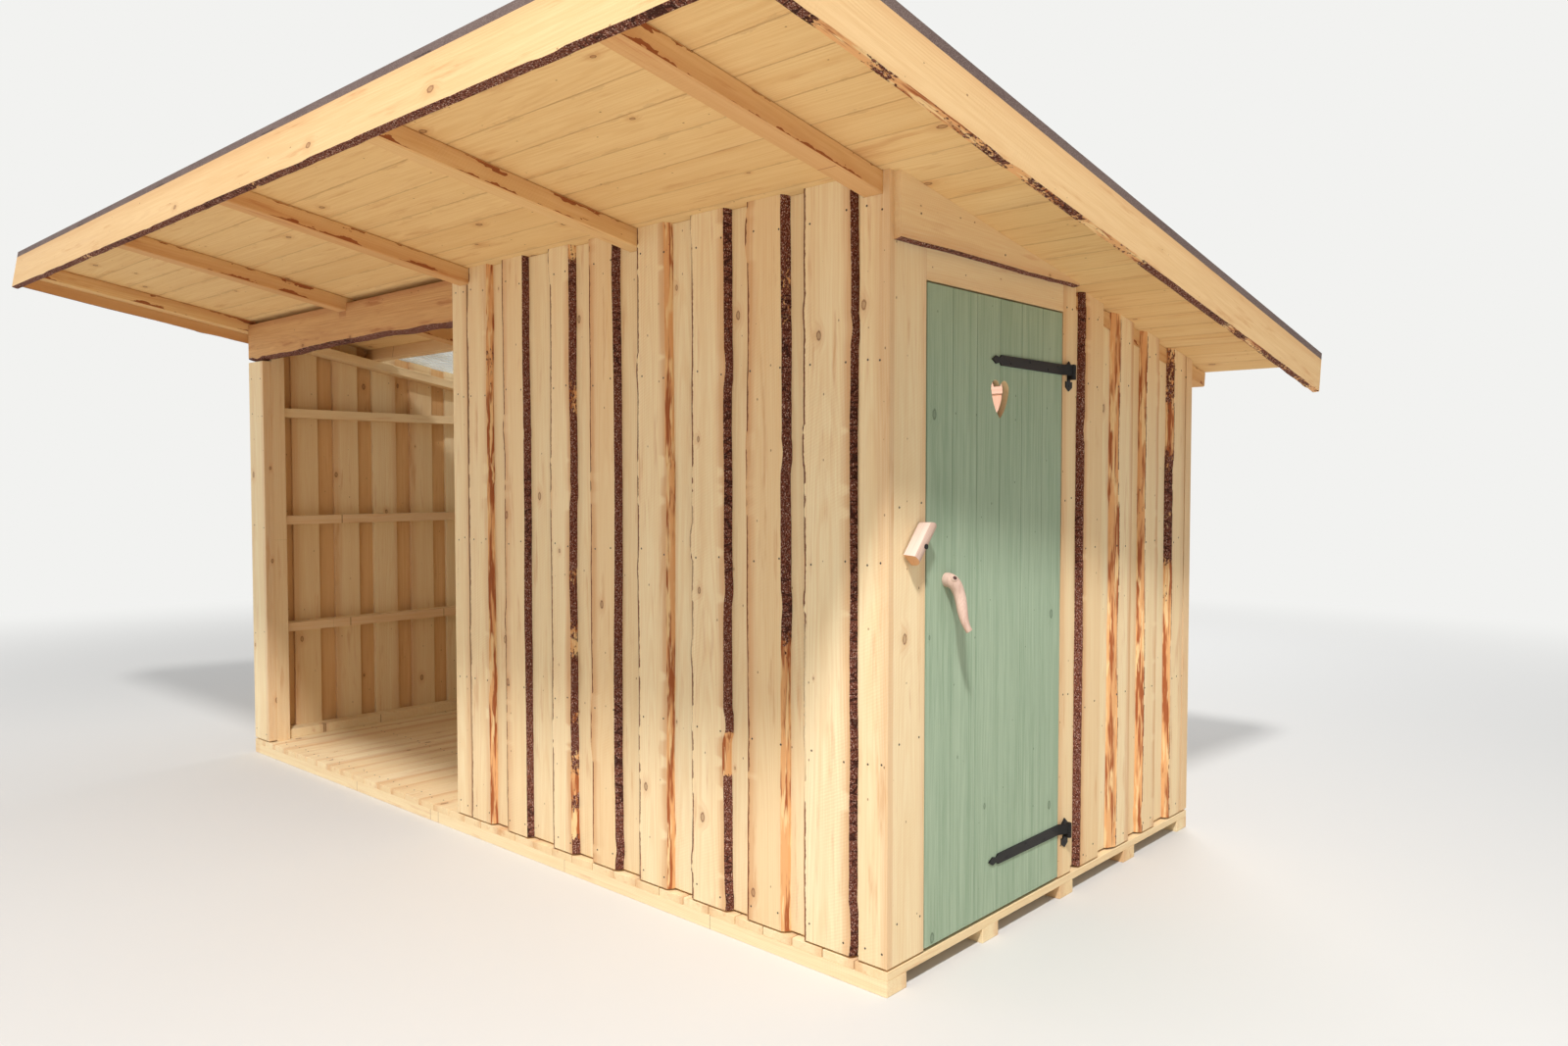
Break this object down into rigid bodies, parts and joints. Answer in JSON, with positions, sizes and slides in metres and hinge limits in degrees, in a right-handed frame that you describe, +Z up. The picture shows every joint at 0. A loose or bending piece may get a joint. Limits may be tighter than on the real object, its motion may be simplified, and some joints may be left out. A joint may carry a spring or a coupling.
{
  "type": "trapper cabin",
  "caption": "Small cabin of fresh sawn boards: a closed room with a green ledged door beside an open bay, under one single-pitch roof with a deep front overhang.",
  "frame": {"origin": "middle of the floor plan, on the underside of the floor joists", "axes": "+X along the front wall towards the door's wall, +Y from the front to the back, +Z up"},
  "size_m": [4.977, 3.4812, 2.6379],
  "materials": {
    "sawn_wood": "rough sawn, unpainted",
    "green_paint": "thin matt green paint",
    "black_iron": "matt black",
    "peeled_branch": "peeled, bare",
    "roof_felt": "mineral faced",
    "clear_sheet": "translucent"
  },
  "bodies": {
    "cabin": {"bay_beam": "sawn_wood", "corner_boards": "sawn_wood", "corner_packing": "sawn_wood", "door_casings": "sawn_wood", "door_head_casing": "sawn_wood", "door_lining": "sawn_wood", "door_wall_over_boards": "sawn_wood", "door_wall_rails": "sawn_wood", "door_wall_under_boards": "sawn_wood", "end_top_rails": "sawn_wood", "floor_boards": "sawn_wood", "floor_joists": "sawn_wood", "frieze_board": "sawn_wood", "front_fascia": "sawn_wood", "front_over_boards": "sawn_wood", "front_roof_boards": "sawn_wood", "front_under_boards": "sawn_wood", "front_wall_rails": "sawn_wood", "hinge_pintles": "black_iron", "left_over_boards": "sawn_wood", "left_under_boards": "sawn_wood", "left_verge_board": "sawn_wood", "left_wall_rails": "sawn_wood", "partition_over_boards": "sawn_wood", "partition_rails": "sawn_wood", "partition_under_boards": "sawn_wood", "posts": "sawn_wood", "rafters": "sawn_wood", "rear_over_boards": "sawn_wood", "rear_under_boards": "sawn_wood", "rear_wall_rails": "sawn_wood", "right_verge_board": "sawn_wood", "roof_edge_strips": "roof_felt", "roof_felt": "roof_felt", "rooflight_sheet": "clear_sheet", "room_roof_boards": "sawn_wood", "sheet_battens": "sawn_wood", "sole_plates": "sawn_wood", "turn_button_screw": "black_iron", "wall_plates": "sawn_wood"},
    "door": {"door_leaf": "green_paint", "door_ledges": "sawn_wood", "hinge_straps": "black_iron", "door_handle": "peeled_branch"},
    "turn_button": {"turn_button": "peeled_branch"}
  },
  "joints": [
    {"name": "door_hinge", "type": "hinge", "parent": "cabin", "child": "door", "pos_m": [2.23, -0.024, 1.1], "axis": [0, 0, 1], "range_deg": [0, 84]},
    {"name": "turn_button_pivot", "type": "hinge", "parent": "cabin", "child": "turn_button", "pos_m": [2.216, -0.972, 1.326], "axis": [1, 0, 0], "range_deg": [-50, 40]}
  ]
}
